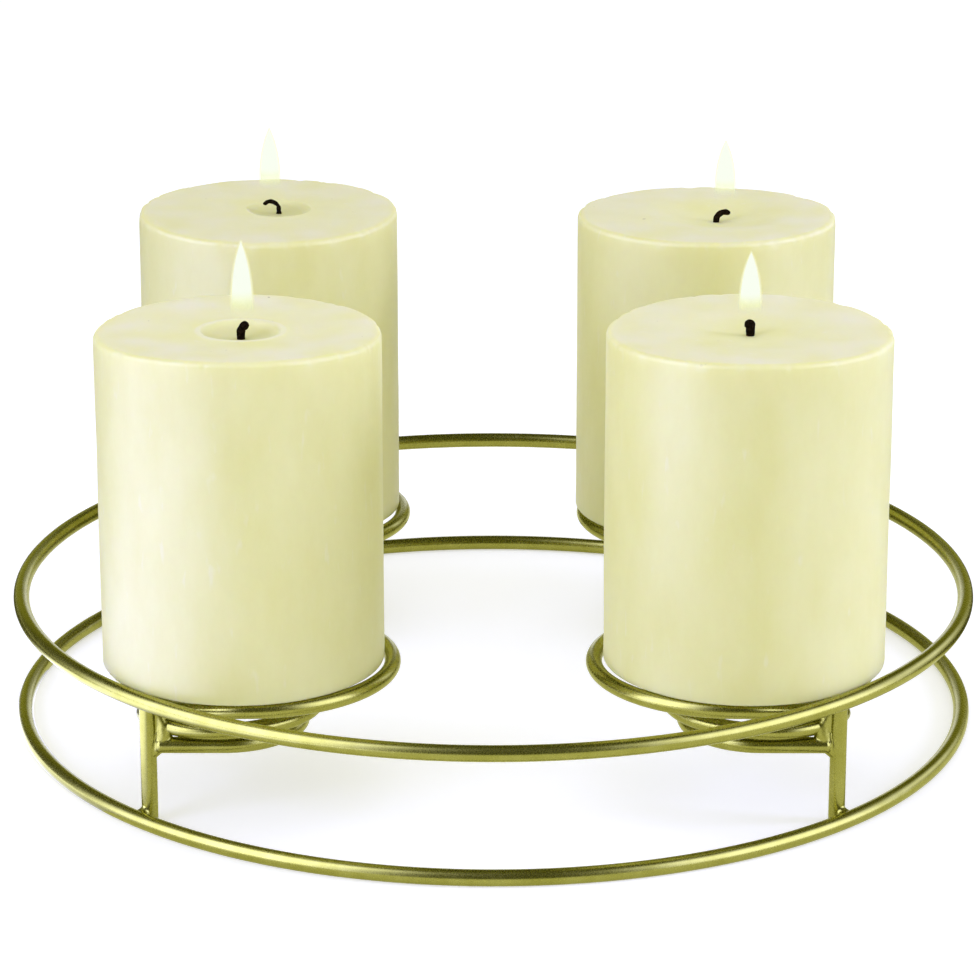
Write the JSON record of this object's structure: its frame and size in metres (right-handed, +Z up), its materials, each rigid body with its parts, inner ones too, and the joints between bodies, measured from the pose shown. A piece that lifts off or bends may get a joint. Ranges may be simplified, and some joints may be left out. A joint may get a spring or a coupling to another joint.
{
  "type": "advent candle holder",
  "caption": "Round gold wire advent candle holder: two rings joined by short posts, with a wound wire seat at each post that carries a lit ivory pillar candle.",
  "frame": {"origin": "on the table plane, under the common axis of both rings", "axes": "+Z up along the rings' axis, front at -Y, +X to the right seen from the front"},
  "size_m": [0.246, 0.246, 0.1388],
  "materials": {
    "gold_wire": "satin gold coat",
    "ivory_wax": "mottled wax",
    "charred_wick": "charred cotton",
    "flame": "glowing flame"
  },
  "bodies": {
    "wire_frame": {"lower_ring": "gold_wire", "upper_ring": "gold_wire", "post_front_left": "gold_wire", "post_front_right": "gold_wire", "post_back_right": "gold_wire", "post_back_left": "gold_wire", "seat_front_left": "gold_wire", "seat_front_right": "gold_wire", "seat_back_right": "gold_wire", "seat_back_left": "gold_wire", "post_foot_welds": "gold_wire", "post_head_welds": "gold_wire", "seat_ring_welds": "gold_wire", "seat_post_welds": "gold_wire"},
    "candle_front_left": {"candle_front_left": "ivory_wax", "wick_front_left": "charred_wick", "flame_front_left": "flame"},
    "candle_front_right": {"candle_front_right": "ivory_wax", "wick_front_right": "charred_wick", "flame_front_right": "flame"},
    "candle_back_right": {"candle_back_right": "ivory_wax", "wick_back_right": "charred_wick", "flame_back_right": "flame"},
    "candle_back_left": {"candle_back_left": "ivory_wax", "wick_back_left": "charred_wick", "flame_back_left": "flame"}
  },
  "joints": [
    {"name": "lift_candle_front_left", "type": "slide", "parent": "wire_frame", "child": "candle_front_left", "axis": [0, 0, 1], "range_m": [0, 0.12]},
    {"name": "lift_candle_front_right", "type": "slide", "parent": "wire_frame", "child": "candle_front_right", "axis": [0, 0, 1], "range_m": [0, 0.12]},
    {"name": "lift_candle_back_right", "type": "slide", "parent": "wire_frame", "child": "candle_back_right", "axis": [0, 0, 1], "range_m": [0, 0.12]},
    {"name": "lift_candle_back_left", "type": "slide", "parent": "wire_frame", "child": "candle_back_left", "axis": [0, 0, 1], "range_m": [0, 0.12]}
  ]
}
